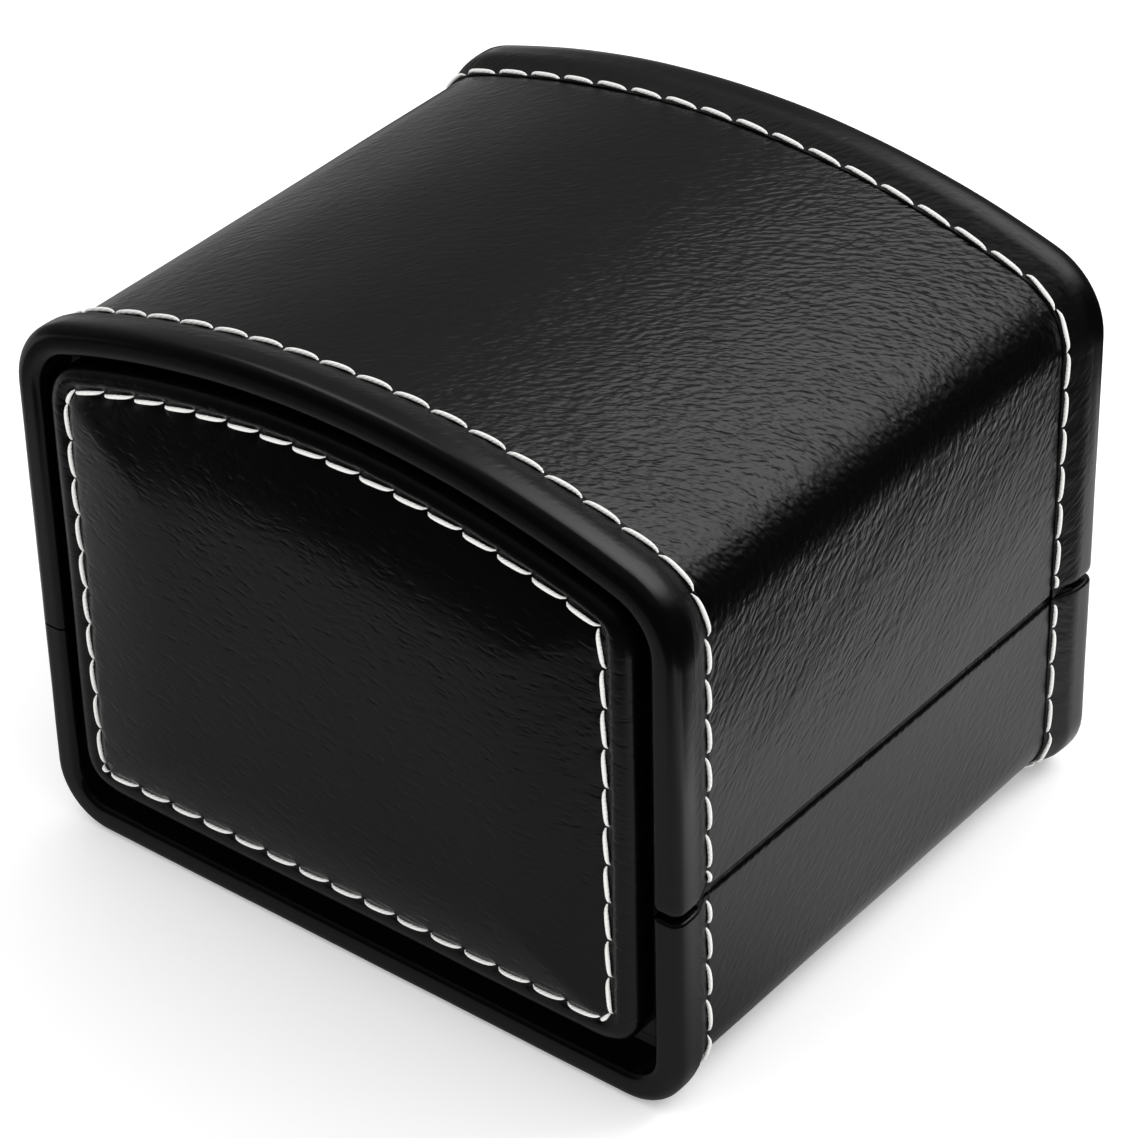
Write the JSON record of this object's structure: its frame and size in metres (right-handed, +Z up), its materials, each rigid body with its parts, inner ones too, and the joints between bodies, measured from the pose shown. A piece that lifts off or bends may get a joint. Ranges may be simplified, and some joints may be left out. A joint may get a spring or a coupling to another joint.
{
  "type": "watch display box",
  "caption": "Arched black leather watch display box with a rear-hinged lid, rolled rims, sewn padded end panels, velvet lining and a cushion for a pocket watch.",
  "frame": {"origin": "middle of the footprint, on the table", "axes": "+X towards the right end panel, -Y is the front where the lid opens, +Y the hinges, +Z up"},
  "size_m": [0.0948, 0.1062, 0.087],
  "materials": {
    "core_board": "matt pressed board",
    "grained_leather": "black grained leather, semi-gloss",
    "rim_leather": "smooth black leather, semi-gloss",
    "lining_velvet": "black velvet",
    "cushion_velvet": "black velvet over foam",
    "sewing_thread": "white waxed thread",
    "hinge_brass": "polished",
    "plain_steel": "plain"
  },
  "bodies": {
    "base": {"base_shell": "core_board", "base_cover": "grained_leather", "base_end_wall_left": "core_board", "base_end_wall_right": "core_board", "base_lining": "lining_velvet", "base_rim_left": "rim_leather", "base_rim_right": "rim_leather", "base_stitching_left": "sewing_thread", "base_stitching_right": "sewing_thread", "base_hinge_leaf_left": "hinge_brass", "base_hinge_leaf_right": "hinge_brass", "hinge_pin_left": "plain_steel", "hinge_pin_right": "plain_steel", "base_hinge_screws": "hinge_brass", "closing_magnets": "plain_steel", "watch_cushion": "cushion_velvet"},
    "lid": {"lid_shell": "core_board", "lid_cover": "grained_leather", "lid_end_wall_left": "core_board", "lid_end_wall_right": "core_board", "lid_lining": "lining_velvet", "lid_rim_left": "rim_leather", "lid_rim_right": "rim_leather", "lid_stitching_left": "sewing_thread", "lid_stitching_right": "sewing_thread", "end_board_left": "core_board", "end_board_right": "core_board", "end_pad_left": "grained_leather", "end_pad_right": "grained_leather", "end_stitching_left": "sewing_thread", "end_stitching_right": "sewing_thread", "lid_hinge_leaf_left": "hinge_brass", "lid_hinge_leaf_right": "hinge_brass", "lid_hinge_screws": "hinge_brass", "keeper_plates": "plain_steel"}
  },
  "joints": [
    {"name": "lid_hinge", "type": "hinge", "parent": "base", "child": "lid", "pos_m": [0, 0.05185, 0.0316], "axis": [-1, 0, 0], "range_deg": [0, 100]}
  ]
}
